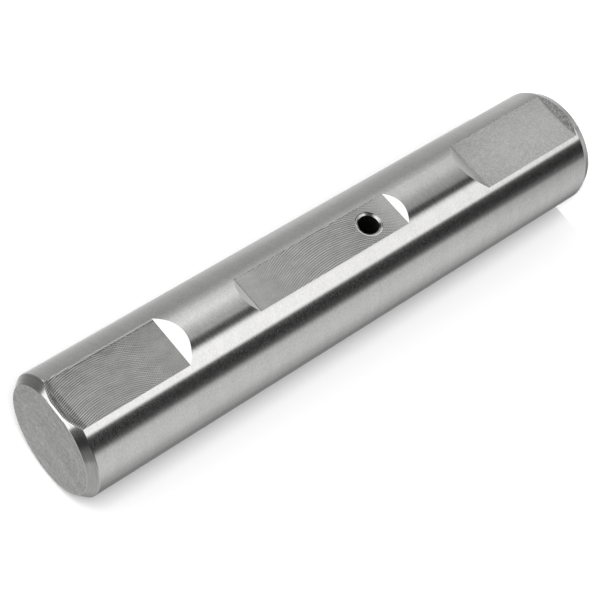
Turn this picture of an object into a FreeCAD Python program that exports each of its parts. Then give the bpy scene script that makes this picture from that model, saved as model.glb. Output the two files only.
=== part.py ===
# Spring bolt: one ground steel pin that carries the eye of a leaf spring.
# It stands on its port end. Z runs up its axis, z = 0 is the port end face and
# the plain end face is on top. The three clamping and grease flats face -Y.
# Stations along the pin are measured down from the plain end face.
# Lengths are millimetres, angles are degrees.
import FreeCAD
import Part
import Sketcher
import os

SIZES = (
    # name, value
    ("pin_diameter", 30.0),
    ("pin_length", 155.0),
    # Turned bevels: how far each runs along the axis and how far it drops in radius.
    ("plain_bevel_run", 1.95),
    ("plain_bevel_drop", 1.72),
    ("port_bevel_run", 2.4),
    ("port_bevel_drop", 1.1),
    # Radius that rounds the rims of both end faces.
    ("edge_break", 0.25),
    # Flat at the plain end, open to the end face. Depths are below the round.
    ("plain_flat_length", 30.1),
    ("plain_flat_depth", 1.66),
    ("plain_flat_slope", 28.0),
    # Shallow grease flat in the middle.
    ("middle_flat_station", 51.1),
    ("middle_flat_length", 44.9),
    ("middle_flat_depth", 0.82),
    ("middle_flat_slope", 24.0),
    # Flat at the port end. A low lip with a steep wall stays beyond it.
    ("port_flat_station", 121.0),
    ("port_flat_length", 31.2),
    ("port_flat_depth", 1.84),
    ("port_flat_slope", 26.5),
    ("port_lip_slope", 62.0),
    # How far each cutter's outline reaches past the round.
    ("cutter_clearance", 1.0),
    # Grease outlet in the middle flat.
    ("outlet_station", 87.6),
    ("outlet_diameter", 5.2),
    ("outlet_sink_diameter", 6.4),
    ("outlet_sink_angle", 120.0),
    # Grease channel along the axis, from the port end to just past the outlet.
    ("channel_diameter", 5.5),
    ("channel_overrun", 1.0),
    ("drill_point_angle", 118.0),
    # Tapped port for a grease nipple, drawn at its core diameter.
    ("port_core_diameter", 9.0),
    ("port_core_depth", 12.0),
    ("port_sink_diameter", 10.6),
    ("port_sink_angle", 90.0),
)

doc = FreeCAD.newDocument("SpringBolt")
sheet = doc.addObject("Spreadsheet::Sheet", "Sizes")
for row, (name, value) in enumerate(SIZES, start=1):
    sheet.set("A%d" % row, name)
    sheet.set("B%d" % row, str(value))
    sheet.setAlias("B%d" % row, name)
doc.recompute()

body = doc.addObject("PartDesign::Body", "Pin")
body.Label = "spring_bolt"
planes = {plane.Role: plane for plane in body.Origin.OriginFeatures}

# Places used more than once, each in terms of the sheet.
RADIUS = "Sizes.pin_diameter / 2"
LENGTH = "Sizes.pin_length"
MIDDLE_FACE = "(Sizes.pin_diameter / 2 - Sizes.middle_flat_depth)"
OUTLET_Z = "(Sizes.pin_length - Sizes.outlet_station)"


def new_sketch(name, role):
    """A sketch on one of the body's own origin planes."""
    sketch = body.newObject("Sketcher::SketchObject", name)
    sketch.AttachmentSupport = [(planes[role], "")]
    sketch.MapMode = "FlatFace"
    return sketch


def outline(sketch, corners):
    """A closed outline whose corners are pairs of cell expressions."""
    points = []
    for across, up in corners:
        points.append(FreeCAD.Vector(sketch.evalExpression(across), sketch.evalExpression(up), 0))
    count = len(points)
    for i in range(count):
        sketch.addGeometry(Part.LineSegment(points[i], points[(i + 1) % count]), False)
    for i in range(count):
        sketch.addConstraint(Sketcher.Constraint("Coincident", i, 2, (i + 1) % count, 1))
    for i, (across, up) in enumerate(corners):
        for kind, place, value in (("DistanceX", across, points[i].x), ("DistanceY", up, points[i].y)):
            number = sketch.addConstraint(Sketcher.Constraint(kind, -1, 1, i, 1, value))
            sketch.setExpression("Constraints[%d]" % number, place)


def hole_sketch(name, role, centre, width):
    """One circle at a centre given by two cell expressions."""
    sketch = new_sketch(name, role)
    across = sketch.evalExpression(centre[0])
    up = sketch.evalExpression(centre[1])
    radius = sketch.evalExpression(width) / 2
    middle = FreeCAD.Vector(across, up, 0)
    sketch.addGeometry(Part.Circle(middle, FreeCAD.Vector(0, 0, 1), radius), False)
    for kind, place, value in (("DistanceX", centre[0], across), ("DistanceY", centre[1], up)):
        number = sketch.addConstraint(Sketcher.Constraint(kind, -1, 1, 0, 3, value))
        sketch.setExpression("Constraints[%d]" % number, place)
    number = sketch.addConstraint(Sketcher.Constraint("Diameter", 0, 2 * radius))
    sketch.setExpression("Constraints[%d]" % number, width)
    return sketch


def drilled(name, sketch, width, depth):
    """A drilled hole with a pointed bottom that goes into the pin from its sketch."""
    doc.recompute()
    hole = body.newObject("PartDesign::Hole", name)
    hole.Profile = sketch
    hole.ThreadType = "None"
    hole.DepthType = "Dimension"
    hole.DrillPoint = "Angled"
    hole.setExpression("Diameter", width)
    hole.setExpression("Depth", depth)
    hole.setExpression("DrillPointAngle", "Sizes.drill_point_angle")
    return hole


# The turned and ground blank, with a bevel at each end. Its outline lies on the -Y side.
blank_outline = new_sketch("BlankOutline", "YZ_Plane")
outline(blank_outline, (
    ("0", "0"),
    ("Sizes.port_bevel_drop - " + RADIUS, "0"),
    ("-" + RADIUS, "Sizes.port_bevel_run"),
    ("-" + RADIUS, LENGTH + " - Sizes.plain_bevel_run"),
    ("Sizes.plain_bevel_drop - " + RADIUS, LENGTH),
    ("0", LENGTH),
))
blank = body.newObject("PartDesign::Revolution", "Blank")
blank.Profile = blank_outline
blank.ReferenceAxis = (blank_outline, ["V_Axis"])
blank.Angle = 360
doc.recompute()

# The rims of the two end faces are rounded.
rims = []
for number, edge in enumerate(blank.Shape.Edges, start=1):
    height = edge.BoundBox.Center.z
    at_face = min(abs(height), abs(height - sheet.pin_length)) < 1e-6
    if at_face and isinstance(edge.Curve, Part.Circle):
        rims.append("Edge%d" % number)
rounding = body.newObject("PartDesign::Fillet", "FaceRims")
rounding.Base = (blank, rims)
rounding.setExpression("Radius", "Sizes.edge_break")
doc.recompute()


def milled_flat(name, depth, top, bottom, top_slope, bottom_slope):
    """A flat milled across the pin, between two sloping end walls.

    top and bottom are the heights of the feet of the walls. A flat with no top
    slope runs straight out through the end face.
    """
    face = "-(" + RADIUS + " - " + depth + ")"
    outside = "-(" + RADIUS + " + Sizes.cutter_clearance)"
    rise = "(" + depth + " + Sizes.cutter_clearance)"
    top_out = top
    if top_slope:
        top_out = top + " + " + rise + " / tan(" + top_slope + ")"
    bottom_out = bottom + " - " + rise + " / tan(" + bottom_slope + ")"
    sketch = new_sketch(name + "Outline", "YZ_Plane")
    outline(sketch, ((face, top), (face, bottom), (outside, bottom_out), (outside, top_out)))
    pocket = body.newObject("PartDesign::Pocket", name)
    pocket.Profile = sketch
    pocket.Type = "ThroughAll"
    pocket.SideType = "Symmetric"
    doc.recompute()
    return pocket


volumes = [rounding.Shape.Volume]
plain_flat = milled_flat(
    "PlainFlat", "Sizes.plain_flat_depth",
    LENGTH + " + Sizes.cutter_clearance",
    LENGTH + " - Sizes.plain_flat_length",
    "", "Sizes.plain_flat_slope * 1 deg")
volumes.append(plain_flat.Shape.Volume)
middle_flat = milled_flat(
    "MiddleFlat", "Sizes.middle_flat_depth",
    LENGTH + " - Sizes.middle_flat_station",
    LENGTH + " - Sizes.middle_flat_station - Sizes.middle_flat_length",
    "Sizes.middle_flat_slope * 1 deg", "Sizes.middle_flat_slope * 1 deg")
volumes.append(middle_flat.Shape.Volume)
port_flat = milled_flat(
    "PortFlat", "Sizes.port_flat_depth",
    LENGTH + " - Sizes.port_flat_station",
    LENGTH + " - Sizes.port_flat_station - Sizes.port_flat_length",
    "Sizes.port_flat_slope * 1 deg", "Sizes.port_lip_slope * 1 deg")
volumes.append(port_flat.Shape.Volume)

# The grease outlet is drilled and countersunk from the middle flat down to the channel.
outlet_circle = hole_sketch("OutletCircle", "XZ_Plane", ("0", OUTLET_Z), "Sizes.outlet_diameter")
outlet_circle.setExpression(".AttachmentOffset.Base.z", MIDDLE_FACE)
outlet = drilled("Outlet", outlet_circle, "Sizes.outlet_diameter", MIDDLE_FACE)
outlet.HoleCutType = "Countersink"
outlet.setExpression("HoleCutDiameter", "Sizes.outlet_sink_diameter")
outlet.setExpression("HoleCutCountersinkAngle", "Sizes.outlet_sink_angle")
doc.recompute()
volumes.append(outlet.Shape.Volume)

# The channel runs up the axis from the port end and just passes the outlet.
channel_circle = hole_sketch("ChannelCircle", "XY_Plane", ("0", "0"), "Sizes.channel_diameter")
channel = drilled(
    "Channel", channel_circle, "Sizes.channel_diameter",
    OUTLET_Z + " + Sizes.outlet_diameter / 2 + Sizes.channel_overrun")
channel.Reversed = True
doc.recompute()
volumes.append(channel.Shape.Volume)

# The port that takes a grease nipple, countersunk at the end face.
port_circle = hole_sketch("PortCircle", "XY_Plane", ("0", "0"), "Sizes.port_core_diameter")
port = drilled("Port", port_circle, "Sizes.port_core_diameter", "Sizes.port_core_depth")
port.Reversed = True
port.HoleCutType = "Countersink"
port.setExpression("HoleCutDiameter", "Sizes.port_sink_diameter")
port.setExpression("HoleCutCountersinkAngle", "Sizes.port_sink_angle")
doc.recompute()
volumes.append(port.Shape.Volume)

# Every cut takes metal away, every object is sound and the pin is one valid solid.
for before, after in zip(volumes, volumes[1:]):
    if after >= before:
        raise RuntimeError("a cut removed nothing: %r" % volumes)
for item in doc.Objects:
    if "Invalid" in item.State or "Error" in item.State:
        raise RuntimeError("%s is in state %s" % (item.Name, item.State))
if body.Shape.isNull() or not body.Shape.isValid() or len(body.Shape.Solids) != 1:
    raise RuntimeError("the pin is not one valid solid")

os.makedirs("parts", exist_ok=True)
body.Shape.exportStep(os.path.join("parts", body.Label + ".step"))
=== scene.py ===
import math

import bmesh
import bpy
from mathutils import Matrix, Vector


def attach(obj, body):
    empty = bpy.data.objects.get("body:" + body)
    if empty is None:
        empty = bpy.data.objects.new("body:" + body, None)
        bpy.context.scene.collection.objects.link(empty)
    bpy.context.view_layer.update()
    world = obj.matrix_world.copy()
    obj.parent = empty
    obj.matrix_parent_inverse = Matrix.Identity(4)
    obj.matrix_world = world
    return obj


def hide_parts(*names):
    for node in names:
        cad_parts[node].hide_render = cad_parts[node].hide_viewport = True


# A ground steel spring bolt that stands on its port end. The plain end is on top,
# and the three flats face -Y. Sizes are in millimetres, the mesh is in metres.
# A station is a place along the pin, measured down from the plain end face.
MM = 0.001
RADIUS = 15.0
LENGTH = 155.0

PLAIN_BEVEL = (1.95, 1.72)      # run along the axis, drop in radius
PORT_BEVEL = (2.4, 1.1)
FACE_ROUND = 0.25               # radius that breaks the rims of the end faces
BEVEL_ROUND = 0.5               # radius where the bevels meet the round

# Each flat: depth below the round, height of its upper foot, height of its lower
# foot, and the slopes of the walls there in degrees.
PLAIN_FLAT = (1.66, 156.0, 124.9, None, 28.0)
MIDDLE_FLAT = (0.82, 103.9, 59.0, 24.0, 24.0)
PORT_FLAT = (1.84, 34.0, 2.8, 26.5, 62.0)
FLAT_CLEARANCE = 1.0            # how far a flat's cutter reaches past the round
FLAT_CUTTER_REACH = 20.0        # half the length of that cutter, across the pin

# The strip at the plain end where the flat is worn down to the bevel: the outline
# of its cutter in (y, height), and half the cutter's length.
WORN_STRIP = ((-11.72, 155.5), (-15.06, 153.95), (-17, 153.95), (-17, 157), (-11.72, 157))
WORN_STRIP_REACH = 12.0

# The grease way: outlet in the middle flat, channel up the axis, and tapped port
# in the end face. A sink is a countersink in (radius, depth), from outside inwards.
OUTLET_HEIGHT = 67.4
OUTLET_RADIUS = 2.6
OUTLET_SINK = ((3.72, -0.1), (3.1, 0.067), (OUTLET_RADIUS, 0.346))
CHANNEL_RADIUS = 2.75
CHANNEL_TOP = 71.0
PORT_RADIUS = 4.5
PORT_DEPTH = 12.0
OVERRUN = 0.5                   # how far outside the end face its drills start
PORT_SINK = ((5.8, -OVERRUN), (PORT_RADIUS, 0.8))
DRILL_POINT = 118.0             # angle of a drill's point in degrees
THREAD_RADIUS = 5.0
THREAD_PITCH = 1.0
THREAD_START = -0.6
THREAD_END = 10.4

# Facets round the pin, round a hole, in each turn of the thread and in a round.
PIN_FACETS = 512
HOLE_FACETS = 96
THREAD_FACETS = 48
ROUND_FACETS = 4

# Points closer than this, in metres, become one point.
WELD = 1e-7
WELD_AFTER_CUTS = 3e-7

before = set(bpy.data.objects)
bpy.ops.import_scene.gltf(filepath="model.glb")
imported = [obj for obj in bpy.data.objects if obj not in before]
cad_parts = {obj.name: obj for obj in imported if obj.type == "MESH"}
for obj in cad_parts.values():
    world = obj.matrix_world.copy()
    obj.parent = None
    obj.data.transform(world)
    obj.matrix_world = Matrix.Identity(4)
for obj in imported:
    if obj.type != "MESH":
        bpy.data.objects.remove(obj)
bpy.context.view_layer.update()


# Nodes

class Value:
    """An output of a node, which takes part in sums as a number does."""

    def __init__(self, nodes, socket):
        self.nodes = nodes
        self.socket = socket

    def __add__(self, other):
        return self.nodes.maths("ADD", self, other)

    def __sub__(self, other):
        return self.nodes.maths("SUBTRACT", self, other)

    def __rsub__(self, other):
        return self.nodes.maths("SUBTRACT", other, self)

    def __mul__(self, other):
        return self.nodes.maths("MULTIPLY", self, other)

    def __truediv__(self, other):
        return self.nodes.maths("DIVIDE", self, other)

    __radd__ = __add__


class Nodes:
    """Node tree of a material or the world, with short ways to add nodes."""

    def __init__(self, tree):
        self.tree = tree

    def new(self, kind, **settings):
        node = self.tree.nodes.new("ShaderNode" + kind)
        for name, setting in settings.items():
            setattr(node, name, setting)
        return node

    def put(self, socket, value):
        """A socket takes a number, a tuple or a Value."""
        if isinstance(value, Value):
            self.tree.links.new(value.socket, socket)
        else:
            socket.default_value = value

    def result(self, node, *values, inputs=(0, 1, 2, 3, 4), output=0):
        """What a node makes of these values, put into these of its inputs."""
        for number, value in zip(inputs, values):
            self.put(node.inputs[number], value)
        return Value(self, node.outputs[output])

    def parts(self, vector):
        """The three numbers of a vector."""
        node = self.new("SeparateXYZ")
        self.put(node.inputs[0], vector)
        return [Value(self, socket) for socket in node.outputs]

    def maths(self, operation, *values):
        return self.result(self.new("Math", operation=operation), *values)

    def length(self, first, second):
        """Length of the line that has these two parts."""
        return self.maths("SQRT", first * first + second * second)

    def ramp(self, value, low, high, out_low=0.0, out_high=1.0, smooth=False):
        """Value carried from low..high to out_low..out_high, and held beyond."""
        node = self.new("MapRange", interpolation_type="SMOOTHSTEP" if smooth else "LINEAR")
        return self.result(node, value, low, high, out_low, out_high)

    def between(self, amount, first, second):
        """First where the amount is 0, second where it is 1."""
        return self.result(self.new("Mix"), amount, first, second, inputs=(0, 2, 3))

    def curve(self, value, stops):
        """Value carried through (place, level) stops, straight between them and held
        beyond. Levels lie from 0 to 2."""
        first, last = stops[0][0], stops[-1][0]
        node = self.new("FloatCurve")
        curve = node.mapping.curves[0]
        places = [((place - first) / (last - first), level / 2) for place, level in stops]
        curve.points[0].location = places[0]
        curve.points[-1].location = places[-1]
        for place in places[1:-1]:
            curve.points.new(*place)
        for point in curve.points:
            point.handle_type = "VECTOR"
        node.mapping.update()
        self.put(node.inputs["Value"], self.ramp(value, first, last))
        return Value(self, node.outputs[0]) * 2.0


class Finish(Nodes):
    """A steel finish: one Principled shader and the nodes that feed it.

    Its colour and roughness are plain values, for the sockets that nothing feeds.
    """

    def __init__(self, name, colour, roughness):
        self.material = bpy.data.materials.new(name)
        self.material.use_nodes = True
        super().__init__(self.material.node_tree)
        self.shader = self.tree.nodes["Principled BSDF"]
        self.set("Base Color", (*colour, 1))
        self.set("Metallic", 1)
        self.set("Roughness", roughness)
        self.place = Value(self, self.new("TexCoord").outputs["Object"])
        self.x, self.y, self.z = self.parts(self.place)

    def set(self, name, value):
        self.put(self.shader.inputs[name], value)

    def noise(self, place, detail, roughness):
        """Noise with its mean at about 0.5."""
        node = self.new("TexNoise")
        for name, value in (("Vector", place), ("Scale", 1), ("Detail", detail), ("Roughness", roughness)):
            self.put(node.inputs[name], value)
        return Value(self, node.outputs[0])

    def grain(self, scales, detail=2.0, roughness=0.5, turn=(0, 0, 0)):
        """Noise in object space, drawn out along the axes with the small scales."""
        mapping = self.new("Mapping")
        mapping.inputs["Scale"].default_value = scales
        mapping.inputs["Rotation"].default_value = [math.radians(angle) for angle in turn]
        self.put(mapping.inputs["Vector"], self.place)
        return self.noise(Value(self, mapping.outputs[0]), detail, roughness)

    def streaks(self, first, second, third=0.0, detail=2.0):
        """Noise at a place whose three numbers are worked out by other nodes."""
        place = self.result(self.new("CombineXYZ"), first, second, third)
        return self.noise(place, detail, 0.5)

    def tone(self, dark, light, amount):
        """Steel between two tones by an amount from 0 to 1."""
        mix = self.new("Mix", data_type="RGBA")
        colours = (*steel(dark), 1), (*steel(light), 1)
        self.set("Base Color", self.result(mix, amount, *colours, inputs=(0, 6, 7), output=2))

    def relief(self, height, depth):
        """Bump whose full height is depth millimetres."""
        bump = self.new("Bump")
        for name, value in (("Strength", 1), ("Distance", depth * MM), ("Height", height)):
            self.put(bump.inputs[name], value)
        self.set("Normal", Value(self, bump.outputs[0]))


def steel(value):
    """Colour of steel this light: a touch warmer than grey."""
    return (value, value * 0.995, value * 0.985)


# Finishes

def ground_round():
    """The ground outside: satin, with grinding grain that runs round the pin."""
    f = Finish("ground_round", steel(0.55), 0.11)
    fine = f.grain((150, 150, 6000), 3)
    mottle = f.grain((1500, 1500, 3400), 2, 0.6)
    broad = f.grain((90, 90, 420), 2)
    scratches = f.grain((2200, 2200, 5200), 2, 0.7)
    f.tone(0.35, 0.75, fine * 0.25 + mottle * 0.55 + broad * 0.2)
    f.set("Roughness", f.ramp(fine, 0.3, 0.7, 0.09, 0.14))
    f.set("Metallic", f.ramp(scratches, 0.42, 0.72, 1.0, 0.95))
    f.relief(fine, 0.0009)
    return f.material


def arc_marks(f, across, station, pitch, centre, radius, leading, trailing):
    """Arcs that the two edges of a face mill leave as it is fed across the pin.

    centre is the station of the cutter's middle line. leading and trailing are how
    strong the marks of each edge are, in (station, level) stops. Gives the parts of
    the marks' height, and the grooves of the leading edge from 0 to 1.
    """
    off = station - centre
    bow = f.maths("SQRT", f.maths("MAXIMUM", radius * radius - off * off, 1.0))
    wobble = f.grain((300, 300, 300), 1) * 0.25 + across
    parts = []
    for bend, stops in ((-1, leading), (1, trailing)):
        line = (bow * bend + wobble) / pitch
        wave = f.maths("SINE", line * (2 * math.pi)) * 0.5
        uneven = f.streaks(line * 0.6, station * 0.16)
        strength = f.curve(station, stops)
        if stops is leading:
            grooves = f.ramp(wave, -0.2, 0.35, 1.0, 0.0)
        parts.append(wave * strength * f.ramp(uneven, 0.3, 0.7, 0.3, 1.7))
        parts.append((uneven - 0.5) * (strength * 0.35))
    return parts, grooves


def edge_line(f, inward, station):
    """Broken dark line along a flat's edge. Inward is the distance in from it."""
    broken = f.ramp(f.streaks(station * 2.4, inward), 0.4, 0.6, 0.1, 1.1)
    return f.curve(inward, ((0.12, 0), (0.3, 0.36), (0.45, 0.36), (0.62, 0))) * broken


def worn_front(f, level, across, station, grooves):
    """Level of a flat that is worn behind the rim of the end face: evened out,
    darker, with short dashes along the rim and nicks where the grooves run out."""
    run, drop = PLAIN_BEVEL
    rim = (f.length(f.x, f.y) / MM - (RADIUS - drop)) / (drop / run)
    behind = station - rim
    worn = f.curve(behind, (
        (0, 0.1), (0.35, 0.2), (0.7, 0.55), (1.1, 0.5), (1.6, 0.2), (2.2, 0.05), (3, 0)))
    worn = worn * f.curve(across, ((-6.8, 0.3), (-4, 1), (2, 1), (6, 0.6)))
    dashes = f.streaks(behind * 4.0, across * 0.35)
    level = f.between(worn * 0.7, level, 0.45)
    level = level - worn * f.ramp(dashes, 0.42, 0.54, 0.2, 1.3)
    nicks = grooves * f.curve(across * 0.03 + station, ((2.0, 0), (2.3, 1.0), (2.7, 1.0), (3.1, 0)))
    return level - nicks * f.ramp(across, 1.0, 4.0, 1.0, 0.3, smooth=True)


def milled(name, dark, light, arcs, base, side, edge, painted_burr_highlight=0.0, front=False,
           roughness=0.28, speck=0.2, size=6000, patch=0.2):
    """A milled flat between two tones, with the cutter's arcs and a fine grain.

    base is how light it is, in (station, level) stops, where a dip at the foot of a wall
    is painted shade, and side is how much darker each millimetre towards +X gets. The
    marks of the edge on that side are measured inwards from edge: a dark line, and a
    painted highlight on the burr along the edge, lighter by that much. A front flat is
    worn behind the rim of the end face. speck and patch are how strong the grain and
    the clouds are, and size is the grain's scale.
    """
    f = Finish(name, steel(0.42), roughness)
    across = f.x / MM
    station = LENGTH - f.z / MM
    parts, grooves = arc_marks(f, across, station, **arcs)
    fine = f.grain((size, size, size * 0.45), 2, 0.6)
    clouds = f.grain((620, 620, 330), 3, 0.65)
    relief = sum(parts + [(fine - 0.5) * (speck * 2), (clouds - 0.5) * (patch * 2)])
    level = relief + f.curve(station, base)
    level = level - f.maths("MAXIMUM", across, 0.0) * side
    inward = edge - across
    level = level - edge_line(f, inward, station)
    # A painted highlight on the burr along the flat's edge.
    if painted_burr_highlight:
        level = level + f.curve(inward, ((0, painted_burr_highlight), (0.14, painted_burr_highlight), (0.24, 0)))
    if front:
        level = worn_front(f, level, across, station, grooves)
    f.tone(dark, light, level)
    f.set("Roughness", f.ramp(fine, 0.3, 0.7, roughness - 0.05, roughness + 0.05))
    f.relief(relief, 0.005)
    return f.material


def milled_plain():
    """The plain end flat: bold arcs that fade towards its wall."""
    arcs = dict(
        pitch=0.487, centre=10.0, radius=24.0,
        leading=((0, 0.6), (4, 0.62), (7.4, 0.56), (10.7, 0.46), (13.8, 0.4), (17, 0.38), (19, 0.5),
                 (22, 0.42), (26, 0.26), (30, 0.2)),
        trailing=((9, 0), (14, 0.2), (21, 0.22), (26, 0.15), (30, 0.05)))
    base = ((0, 0.5), (18, 0.5), (22, 0.535), (26.5, 0.525), (28, 0.525), (29, 0.535))
    return milled("milled_plain", 0.12, 0.555, arcs, base, side=0.022, edge=6.66, painted_burr_highlight=0.4, front=True)


def milled_middle():
    """The middle flat: arcs that grow towards the outlet and a bright far end."""
    arcs = dict(
        pitch=0.528, centre=74.0, radius=32.0,
        leading=((51, 0.08), (57, 0.1), (59, 0.25), (63, 0.5), (68, 0.62), (72, 0.64), (76, 0.58),
                 (80, 0.55), (82, 0.72), (85, 0.74), (88, 0.45), (92, 0.5), (96, 0.4)),
        trailing=((76, 0), (82, 0.22), (87, 0.25), (92, 0.1), (96, 0)))
    # The dip from station 51.1 to 51.4 is painted shade along the foot of the upper wall.
    base = ((51.1, 0.2), (51.25, 0.25), (51.4, 0.6), (54, 0.6), (57.5, 0.54), (70, 0.55), (76, 0.517),
            (84, 0.47), (88, 0.5), (91, 0.62), (92.5, 0.72), (94.5, 0.86), (96, 0.88))
    return milled("milled_middle", 0.17, 0.61, arcs, base, side=0, edge=5.2)


def milled_port():
    """The port end flat: faint arcs under a coarser grain."""
    arcs = dict(
        pitch=0.5, centre=136.0, radius=24.0,
        leading=((121, 0.05), (127, 0.12), (140, 0.14), (153, 0.06)),
        trailing=((121, 0), (153, 0)))
    # The dip from station 121 to 121.6 is painted shade along the foot of the upper wall.
    base = ((121, 0.2), (121.3, 0.31), (121.6, 0.475), (124, 0.5), (129, 0.56), (133, 0.61))
    return milled("milled_port", 0.34, 0.86, arcs, base, side=0.026, edge=7.5,
                  roughness=0.22, speck=0.36, size=3900, patch=0.11)


def plain_steel(name, value, roughness, scales, depth, spread=0.05, reach=0.5):
    """One tone with grain. A short reach of the grain makes it crisp."""
    f = Finish(name, steel(value), roughness)
    fine = f.grain(scales, 3)
    f.tone(value - spread, value + spread, f.ramp(fine, 0.5 - reach, 0.5 + reach))
    f.relief(fine, depth)
    return f.material


def port_flat_wall():
    """The sloping wall of the port end flat, with painted shade: darker at its foot, lighter with the
    height above it.
    """
    f = Finish("port_wall", steel(0.58), 0.15)
    rise = f.z / MM - PORT_FLAT[1]
    # Painted shade: darker towards the wall's foot.
    f.tone(0, 1, f.curve(rise, ((0, 0.55), (0.6, 0.56), (1.2, 0.59), (2, 0.65), (3.2, 0.69))))
    f.relief(f.grain((400, 400, 400), 3), 0.0006)
    return f.material


def turned_face():
    """End faces: fine turning rings, specks and a few straight wipes."""
    f = Finish("turned_face", steel(0.5), 0.3)
    wipe_turn = (0, 0, 4)
    rings = f.streaks(f.length(f.x, f.y) * 4000, f.x * 60, f.y * 60, 3)
    wipes = f.grain((110, 2600, 60), 3, 0.65, wipe_turn)
    cloud = f.grain((70, 240, 60), 2, 0.5)
    speck = f.grain((1700, 2600, 900), 2, 0.7, wipe_turn)
    f.tone(0.31, 0.68, rings * 0.6 + wipes * 1.1 + speck * 2.2 + cloud * 0.7 - 1.8)
    f.set("Roughness", f.ramp(wipes, 0.3, 0.7, 0.26, 0.36))
    f.relief(rings, 0.002)
    return f.material


def outlet_rim():
    """The outlet's countersink, with a painted reflection by the angle round the hole: bright
    towards the plain end, broken between dark and bright on its other side, and with
    painted shade next to the bore in places."""
    f = Finish("outlet_sink", steel(0.4), 0.2)
    across = f.x / MM
    off = OUTLET_HEIGHT - f.z / MM
    turn = f.maths("ARCTAN2", off, across) * (180 / math.pi)
    # Painted reflection: how light the countersink is, by the angle round the hole.
    level = f.curve(turn, (
        (-180, 0.9), (-60, 0.95), (-38, 0.5), (-22, 0.35), (-8, 0.5), (18, 0.5), (28, 0.15), (38, 0.04),
        (56, 0.06), (66, 0.25), (74, 0.5), (95, 0.45), (108, 0.35), (116, 0.12), (132, 0.15), (145, 0.6),
        (180, 0.85)))
    # Painted shade next to the bore, as strong at each angle as the curve below gives.
    deep = f.ramp(f.length(across, off), 2.8, 3.05, 1.0, 0.0, smooth=True)
    painted_bore_shade = f.curve(turn, (
        (-180, 0.15), (-120, 0.25), (-70, 0.6), (-40, 0.6), (-15, 0), (100, 0), (125, 0.3), (150, 0.25),
        (180, 0.15)))
    fine = f.grain((2600, 2600, 2600), 2, 0.6)
    f.tone(0.03, 0.85, level - deep * painted_bore_shade + (fine - 0.5) * 0.5)
    f.relief(fine, 0.004)
    return f.material


def paper_finish(name, value):
    """Pale floor or backdrop that keeps the pin's shadow.

    Seen from behind it is clear, so that views from there show the pin.
    """
    material = bpy.data.materials.new(name)
    material.use_nodes = True
    material.node_tree.nodes.clear()
    nodes = Nodes(material.node_tree)
    back = nodes.new("NewGeometry").outputs["Backfacing"]
    paper = nodes.new("BsdfDiffuse")
    paper.inputs["Color"].default_value = (value, value, value, 1)
    clear = nodes.new("BsdfTransparent")
    shaders = [Value(nodes, output) for output in (back, paper.outputs[0], clear.outputs[0])]
    both = nodes.result(nodes.new("MixShader"), *shaders)
    nodes.put(nodes.new("OutputMaterial").inputs["Surface"], both)
    return material


# Shapes

def finished(name, bm, *materials):
    """A bmesh becomes an object that carries these materials."""
    mesh = bpy.data.meshes.new(name)
    bm.to_mesh(mesh)
    bm.free()
    for material in materials:
        mesh.materials.append(material)
    piece = bpy.data.objects.new(name, mesh)
    bpy.context.scene.collection.objects.link(piece)
    return piece


# Half outline of the blank: radius, height and the radius that rounds the corner.
OUTLINE = (
    (0, 0, 0),
    (RADIUS - PORT_BEVEL[1], 0, FACE_ROUND),
    (RADIUS, PORT_BEVEL[0], BEVEL_ROUND),
    (RADIUS, LENGTH - PLAIN_BEVEL[0], BEVEL_ROUND),
    (RADIUS - PLAIN_BEVEL[1], LENGTH, FACE_ROUND),
    (0, LENGTH, 0),
)


def corner(i):
    """Tangent length and centre of the arc that rounds a corner of the outline."""
    before, here, after = (Vector(OUTLINE[j][:2]) for j in (i - 1, i, i + 1))
    back, on = (before - here).normalized(), (after - here).normalized()
    half = back.angle(on) / 2
    reach = OUTLINE[i][2] / math.tan(half)
    centre = here + (back + on).normalized() * (OUTLINE[i][2] / math.sin(half))
    return reach, centre


CORNERS = [corner(i) for i in range(1, len(OUTLINE) - 1)]


def spun(bm, centre, axis, facets):
    """Spins an outline right round an axis into a closed surface."""
    bmesh.ops.spin(bm, geom=bm.verts[:] + bm.edges[:], cent=centre, axis=axis,
                   angle=2 * math.pi, steps=facets, use_merge=True)
    bmesh.ops.remove_doubles(bm, verts=bm.verts[:], dist=WELD)
    bmesh.ops.recalc_face_normals(bm, faces=bm.faces[:])


def turned_blank(land, end_face, bevel, rim):
    """The pin before milling: its rounded outline spun round the axis.

    How far a face looks up or down tells the end faces, the bevels and the rounds
    between them from the ground land.
    """
    bm = bmesh.new()
    points = [bm.verts.new((0, -radius * MM, height * MM)) for radius, height, _ in OUTLINE]
    for a, b in zip(points, points[1:]):
        bm.edges.new((a, b))
    for i, (reach, _) in enumerate(CORNERS, start=1):
        bmesh.ops.bevel(bm, geom=[points[i]], offset=reach * MM, offset_type="OFFSET",
                        segments=ROUND_FACETS, profile=0.5, affect="VERTICES", material=-1)
    spun(bm, (0, 0, 0), (0, 0, 1), PIN_FACETS)
    for face in bm.faces:
        up = face.normal.z
        run, drop = PLAIN_BEVEL if up > 0 else PORT_BEVEL
        if abs(up) > 0.9995:
            face.material_index = 1
        elif abs(abs(up) - drop / math.hypot(run, drop)) < 0.01:
            face.material_index = 2
        elif abs(up) > 0.001:
            face.material_index = 3
    return finished("spring_bolt_skin", bm, land, end_face, bevel, rim)


def block_across(corners, reach):
    """A bmesh block right across the pin with this outline in (y, height)."""
    bm = bmesh.new()
    end = bm.faces.new([bm.verts.new((-reach * MM, y * MM, height * MM)) for y, height in corners])
    swept = bmesh.ops.extrude_face_region(bm, geom=[end])["geom"]
    bmesh.ops.translate(bm, vec=(2 * reach * MM, 0, 0),
                        verts=[item for item in swept if isinstance(item, bmesh.types.BMVert)])
    bmesh.ops.recalc_face_normals(bm, faces=bm.faces[:])
    return bm


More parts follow.
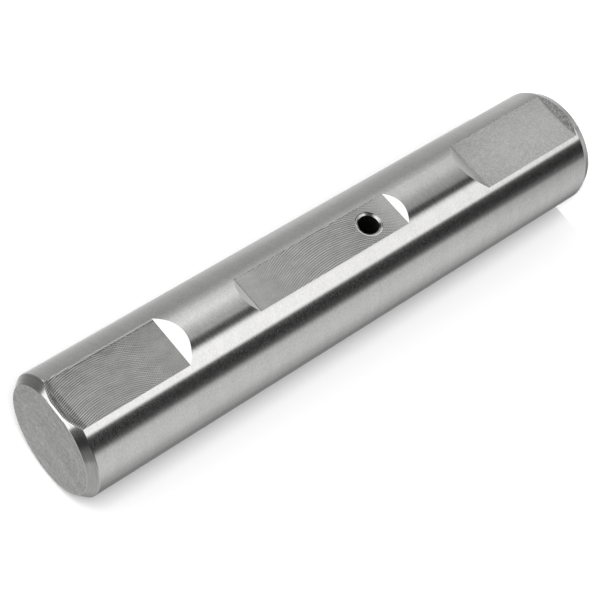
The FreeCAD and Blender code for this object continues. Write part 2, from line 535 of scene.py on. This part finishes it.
def flat_cutter(sizes, floor, upper, lower):
    """A block whose faces leave a flat and its two sloping walls."""
    depth, top, bottom, top_slope, bottom_slope = sizes
    face = depth - RADIUS
    outside = -RADIUS - FLAT_CLEARANCE
    rise = depth + FLAT_CLEARANCE
    top_out = top + (rise / math.tan(math.radians(top_slope)) if top_slope else 0)
    bottom_out = bottom - rise / math.tan(math.radians(bottom_slope))
    bm = block_across(((face, top), (face, bottom), (outside, bottom_out), (outside, top_out)),
                      FLAT_CUTTER_REACH)
    for side in bm.faces:
        if side.normal.y > 0.99:
            side.material_index = 0
        elif side.normal.z > 0:
            side.material_index = 1
        else:
            side.material_index = 2
    return finished("cutter", bm, floor, upper, lower)


def thread_cutter(finish):
    """The port thread's groove: a V section carried round the axis and up it.

    The section is in (radius, share of the pitch). It reaches just inside the
    core of the port, so that the groove opens into it.
    """
    inside = PORT_RADIUS - 0.05
    section = ((inside, -0.45), (THREAD_RADIUS, -0.06), (THREAD_RADIUS, 0.06), (inside, 0.45))
    bm = bmesh.new()
    points = [(out * MM, 0, (THREAD_START + share * THREAD_PITCH) * MM) for out, share in section]
    face = bm.faces.new([bm.verts.new(point) for point in points])
    turns = (THREAD_END - THREAD_START) / THREAD_PITCH
    steps = int(THREAD_FACETS * turns)
    climb = (THREAD_END - THREAD_START) * MM / steps
    bmesh.ops.spin(bm, geom=bm.verts[:] + bm.edges[:] + [face], cent=(0, 0, 0), axis=(0, 0, 1),
                   dvec=(0, 0, climb), angle=2 * math.pi * turns, steps=steps)
    bmesh.ops.recalc_face_normals(bm, faces=bm.faces[:])
    return finished("cutter", bm, finish)


def drill(axis, start, sink, radius, depth, bore_finish, sink_finish=None):
    """A drill with a pointed end, and with a countersink's cone if it has one."""
    along = Vector(axis)
    start = Vector(start)
    side = along.orthogonal().normalized()
    tip = round(depth + radius / math.tan(math.radians(DRILL_POINT / 2)), 2)
    cone = [(0, sink[0][1])] + list(sink)
    profile = cone + [(radius, depth), (0, tip)]
    bm = bmesh.new()
    points = [bm.verts.new((start + along * deep + side * out) * MM) for out, deep in profile]
    for a, b in zip(points, points[1:]):
        bm.edges.new((a, b))
    spun(bm, start * MM, along, HOLE_FACETS)
    for face in bm.faces:
        deep = (face.calc_center_median() / MM - start).dot(along)
        if sink_finish and deep < cone[-1][1]:
            face.material_index = 1
    materials = (bore_finish, sink_finish) if sink_finish else (bore_finish,)
    return finished("drill", bm, *materials)


def cut(piece, cutters):
    """Takes the cutters out of the piece, which gets its new mesh."""
    for cutter in cutters:
        step = piece.modifiers.new("cut", "BOOLEAN")
        step.operation = "DIFFERENCE"
        step.solver = "EXACT"
        step.material_mode = "TRANSFER"
        step.object = cutter
    bpy.context.view_layer.update()
    evaluated = piece.evaluated_get(bpy.context.evaluated_depsgraph_get())
    mesh = bpy.data.meshes.new_from_object(evaluated)
    bm = bmesh.new()
    bm.from_mesh(mesh)
    bmesh.ops.remove_doubles(bm, verts=bm.verts[:], dist=WELD_AFTER_CUTS)
    bm.to_mesh(mesh)
    bm.free()
    piece.modifiers.clear()
    piece.data = mesh
    for cutter in cutters:
        bpy.data.objects.remove(cutter)


def turned_normal(face, point):
    """Normal of the turned surface at a corner of a face."""
    around = Vector((point.x, point.y, 0))
    place = Vector((around.length, point.z)) / MM
    slope = Vector((math.sqrt(max(0, 1 - face.normal.z ** 2)), face.normal.z))
    for (*here, _), (reach, centre) in zip(OUTLINE[1:], CORNERS):
        if (place - Vector(here)).length <= reach + 0.001:
            slope = (place - centre).normalized()
            break
    return around.normalized() * slope.x + Vector((0, 0, slope.y))


def bored_normal(face, point, axis, centre):
    """Normal of the drilled surface at a corner of a face, which points inwards."""
    around = point / MM - centre
    around -= axis * around.dot(axis)
    if around.length <= 0.05:
        return face.normal
    part = face.normal.dot(axis)
    return axis * part - around.normalized() * math.sqrt(max(0, 1 - part * part))


def true_normals(mesh, turned, bores):
    """Gives each corner the normal of the surface that it stands for."""
    normals = []
    for face in mesh.polygons:
        name = mesh.materials[face.material_index].name
        round_face = name in turned and abs(face.normal.z) < 0.9999
        bored_face = name in bores and abs(face.normal.dot(bores[name][0])) < 0.999
        for number in face.vertices:
            normal = face.normal
            if round_face:
                normal = turned_normal(face, mesh.vertices[number].co)
            elif bored_face:
                normal = bored_normal(face, mesh.vertices[number].co, *bores[name])
            normals.append(normal.normalized())
    mesh.polygons.foreach_set("use_smooth", [True] * len(mesh.polygons))
    mesh.normals_split_custom_set(normals)


# The pin

worn_edge = plain_steel("worn_edge", 0.62, 0.12, (900, 900, 900), 0.0005)
pin = turned_blank(
    ground_round(), turned_face(),
    plain_steel("turned_bevel", 0.5, 0.13, (200, 200, 5000), 0.001, spread=0.16), worn_edge)

wall = plain_steel("milled_wall", 0.58, 0.15, (400, 400, 400), 0.0006, spread=0.02)
lip = plain_steel("milled_lip", 0.2, 0.45, (2100, 2100, 1300), 0.014, spread=0.12, reach=0.21)
outlet_bore = plain_steel("outlet_bore", 0.12, 0.45, (300, 3000, 300), 0.004, spread=0.03)
port_sink = plain_steel("port_sink", 0.5, 0.22, (300, 300, 3000), 0.002)
port_bore = plain_steel("port_bore", 0.2, 0.4, (300, 300, 3000), 0.004, spread=0.03)
port_thread = plain_steel("port_thread", 0.35, 0.3, (900, 900, 900), 0.001, spread=0.03)

inwards, up = (0, 1, 0), (0, 0, 1)
flat_face = MIDDLE_FLAT[0] - RADIUS
cut(pin, [
    flat_cutter(PLAIN_FLAT, milled_plain(), wall, wall),
    flat_cutter(MIDDLE_FLAT, milled_middle(), wall, wall),
    flat_cutter(PORT_FLAT, milled_port(), port_flat_wall(), lip),
    finished("cutter", block_across(WORN_STRIP, WORN_STRIP_REACH), worn_edge),
    drill(inwards, (0, flat_face, OUTLET_HEIGHT), OUTLET_SINK, OUTLET_RADIUS, -flat_face,
          outlet_bore, outlet_rim()),
    drill(up, (0, 0, 0), ((CHANNEL_RADIUS, -OVERRUN),), CHANNEL_RADIUS, CHANNEL_TOP, port_bore),
    drill(up, (0, 0, 0), PORT_SINK, PORT_RADIUS, PORT_DEPTH, port_bore, port_sink),
    thread_cutter(port_thread),
])
outlet_line = (Vector(inwards), Vector((0, 0, OUTLET_HEIGHT)))
port_line = (Vector(up), Vector((0, 0, 0)))
true_normals(
    pin.data, {"ground_round", "turned_bevel", "turned_face", "worn_edge"},
    {"outlet_sink": outlet_line, "outlet_bore": outlet_line,
     "port_sink": port_line, "port_bore": port_line})
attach(pin, "root")
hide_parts("spring_bolt")


# Stage

# Places in metres. The paper all but touches the pin, so that its shadow meets it.
PAPER_SIZE = 0.8                # half the width of the floor and the backdrop
FLOOR_HEIGHT = 0.00002
BACKDROP_PLACE = 0.01498        # behind the pin's axis


def sheet_of_paper(name, place, finish):
    """A flat sheet that shows the shadow and nothing else of the light."""
    bm = bmesh.new()
    bmesh.ops.create_grid(bm, x_segments=1, y_segments=1, size=PAPER_SIZE, matrix=place)
    paper = finished(name, bm, finish)
    paper.visible_glossy = False
    paper.visible_diffuse = False
    paper.visible_shadow = False


def soft_lamp(name, place, aim, width, height, power):
    """A soft lamp for the paper. The steel gets its light from the studio."""
    lamp = bpy.data.objects.new(name, bpy.data.lights.new(name, "AREA"))
    bpy.context.scene.collection.objects.link(lamp)
    lamp.data.shape = "RECTANGLE"
    lamp.data.size = width
    lamp.data.size_y = height
    lamp.data.energy = power
    lamp.location = place
    lamp.rotation_euler = (Vector(aim) - Vector(place)).to_track_quat("-Z", "Y").to_euler()
    lamp.visible_glossy = False
    lamp.visible_camera = False


upright = Matrix.Rotation(math.radians(90), 4, "X")
sheet_of_paper("floor", Matrix.Translation((0, 0, FLOOR_HEIGHT)), paper_finish("white_floor", 1.2))
sheet_of_paper("backdrop", Matrix.Translation((0, BACKDROP_PLACE, PAPER_SIZE)) @ upright,
               paper_finish("white_paper", 0.52))
soft_lamp("front_softbox", (-0.26, -0.87, 0.4), (0, 0.015, -0.5), width=0.62, height=0.3, power=14.8)

# What the steel reflects, by the angle of a direction round the pin's axis, in
# degrees from +Y towards +X. The light levels are for directions that fall by 26,
# 35 and 39 degrees.
ROUND_LIGHT = (
    (0, 0.25, 0.24, 0.24), (12, 0.3, 0.31, 0.33), (24, 0.58, 0.63, 1), (36, 0.64, 0.67, 0.92),
    (50, 0.68, 0.63, 0.76), (64, 0.61, 0.57, 0.73), (76, 0.55, 0.54, 0.72), (88, 0.5, 0.51, 0.6),
    (100, 0.46, 0.475, 0.475), (104, 0.46, 0.485, 0.485), (107, 0.48, 0.505, 0.505),
    (110, 0.52, 0.54, 0.54), (114, 0.57, 0.62, 0.62), (120, 0.72, 0.71, 0.71), (126, 0.96, 0.92, 0.92),
    (132, 1.05, 0.89, 0.89), (139, 1.19, 0.9, 0.9), (145, 1.25, 0.85, 0.85), (151, 1.11, 0.755, 0.755),
    (157, 0.92, 0.635, 0.635), (162, 0.79, 0.54, 0.54), (170, 0.61, 0.45, 0.45),
    (176, 0.57, 0.35, 0.35), (181, 0.15, 0.08, 0.08), (186, 0.07, 0.06, 0.06), (189, 0.1, 0.1, 0.1),
    (191, 0.16, 0.35, 0.35), (194, 0.55, 0.95, 0.95), (197, 1.25, 1.3, 1.3), (200, 1.55, 1.42, 1.46),
    (206, 1.55, 1.45, 1.42), (214, 1.55, 1.45, 1.3), (220, 1.55, 1.45, 1.25), (222, 1.6, 1.6, 1.35),
    (225, 1.6, 1.25, 1.2), (227, 0.92, 0.32, 0.4), (229, 0.14, 0.1, 0.1), (233, 0.06, 0.05, 0.05),
    (239, 0.038, 0.03, 0.022), (245, 0.038, 0.03, 0.022), (251, 0.07, 0.06, 0.04),
    (255, 0.14, 0.12, 0.11), (258, 0.29, 0.23, 0.13), (261, 0.55, 0.47, 0.18), (266, 0.81, 0.77, 0.48),
    (274, 0.85, 0.8, 0.6), (281, 0.87, 0.83, 0.67), (290, 0.89, 0.87, 0.73), (306, 0.83, 0.81, 0.78),
    (316, 0.69, 0.69, 0.73), (324, 0.57, 0.59, 0.64), (330, 0.5, 0.52, 0.57), (336, 0.45, 0.45, 0.48),
    (342, 0.35, 0.35, 0.38), (347, 0.29, 0.29, 0.3), (354, 0.27, 0.27, 0.27), (360, 0.25, 0.24, 0.24),
)
# The upward parts of directions that fall so.
NEAR_FALL, MIDDLE_FALL, FAR_FALL = -0.44, -0.58, -0.63

# The same light for directions that rise, and where the one passes into the other.
HIGH_LIGHT = (
    (0, 0.6), (12, 0.57), (24, 0.55), (36, 0.5), (50, 0.4), (60, 0.33), (76, 0.26), (88, 0.22), (98, 0.24),
    (101, 0.5), (103, 1.5), (106, 1.9), (201, 1.9), (203.5, 1.1), (206, 0.22), (214, 0.2), (226, 0.14),
    (238, 0.07), (252, 0.06), (260, 0.12), (268, 0.24), (280, 0.28), (286, 0.34), (290, 0.58), (306, 0.64),
    (324, 0.64), (336, 0.64), (347, 0.62), (360, 0.6),
)
LOW_END, HIGH_START = -0.3, 0.25

# Soft glints, each by turn and by upward part, that are added to the lower light.
GLINTS = (
    (((5, 0), (14, 0.1), (21, 0.18), (31, 0.19), (40, 0.08), (50, 0)), ((-0.43, 0), (-0.385, 1))),
    (((36, 0), (51, 0.06), (61, 0.09), (71, 0.07), (80, 0)),
     ((-0.57, 0), (-0.52, 1), (-0.49, 1), (-0.44, 0))),
)
OVERHEAD_LIGHT = 1.9


def studio_light(nodes):
    """Light that the steel sees, worked out from the direction that it comes from."""
    east, north, rise = nodes.parts(Value(nodes, nodes.new("TexCoord").outputs["Generated"]))
    turn = nodes.maths("FRACT", nodes.maths("ARCTAN2", east, north) / (2 * math.pi) + 1) * 360
    near, middle, far = (
        nodes.curve(turn, [(row[0], row[column]) for row in ROUND_LIGHT]) for column in (1, 2, 3))
    lower = nodes.between(nodes.ramp(rise, NEAR_FALL, MIDDLE_FALL), near, middle)
    lower = nodes.between(nodes.ramp(rise, MIDDLE_FALL, FAR_FALL), lower, far)
    for by_turn, by_rise in GLINTS:
        lower = lower + nodes.curve(turn, by_turn) * nodes.curve(rise, by_rise)
    upper = nodes.curve(turn, HIGH_LIGHT)
    light = nodes.between(nodes.ramp(rise, LOW_END, HIGH_START, smooth=True), lower, upper)
    sideways = nodes.ramp(north, -0.05, 0.1, smooth=True) * nodes.ramp(east, 0.0, 0.15, smooth=True)
    overhead = sideways * nodes.ramp(rise, 0.76, 0.82, smooth=True)
    return nodes.between(overhead, light, OVERHEAD_LIGHT)


world = bpy.data.worlds.new("studio")
bpy.context.scene.world = world
world.use_nodes = True
world.node_tree.nodes.clear()
studio = Nodes(world.node_tree)
seen = Value(studio, studio.new("LightPath").outputs["Is Camera Ray"])
background = studio.new("Background")
background.inputs["Color"].default_value = (1, 1, 1, 1)
studio.put(background.inputs["Strength"], studio.between(seen, studio_light(studio), 1.0))
studio.put(studio.new("OutputWorld").inputs["Surface"], Value(studio, background.outputs[0]))


# Camera

camera = bpy.data.objects.new("camera", bpy.data.cameras.new("camera"))
bpy.context.scene.collection.objects.link(camera)
camera.data.sensor_width = 36
camera.data.lens = 98.415
camera.data.clip_start = 0.01
# Its right, its up, its back and its place, one in each column.
camera.matrix_world = Matrix((
    (-0.628658, 0.715312, -0.305151, -0.117327),
    (-0.211133, -0.534635, -0.818284, -0.309363),
    (-0.748473, -0.449993, 0.487129, 0.270357),
    (0, 0, 0, 1),
))
bpy.context.scene.camera = camera
bpy.context.scene.view_settings.view_transform = "Standard"
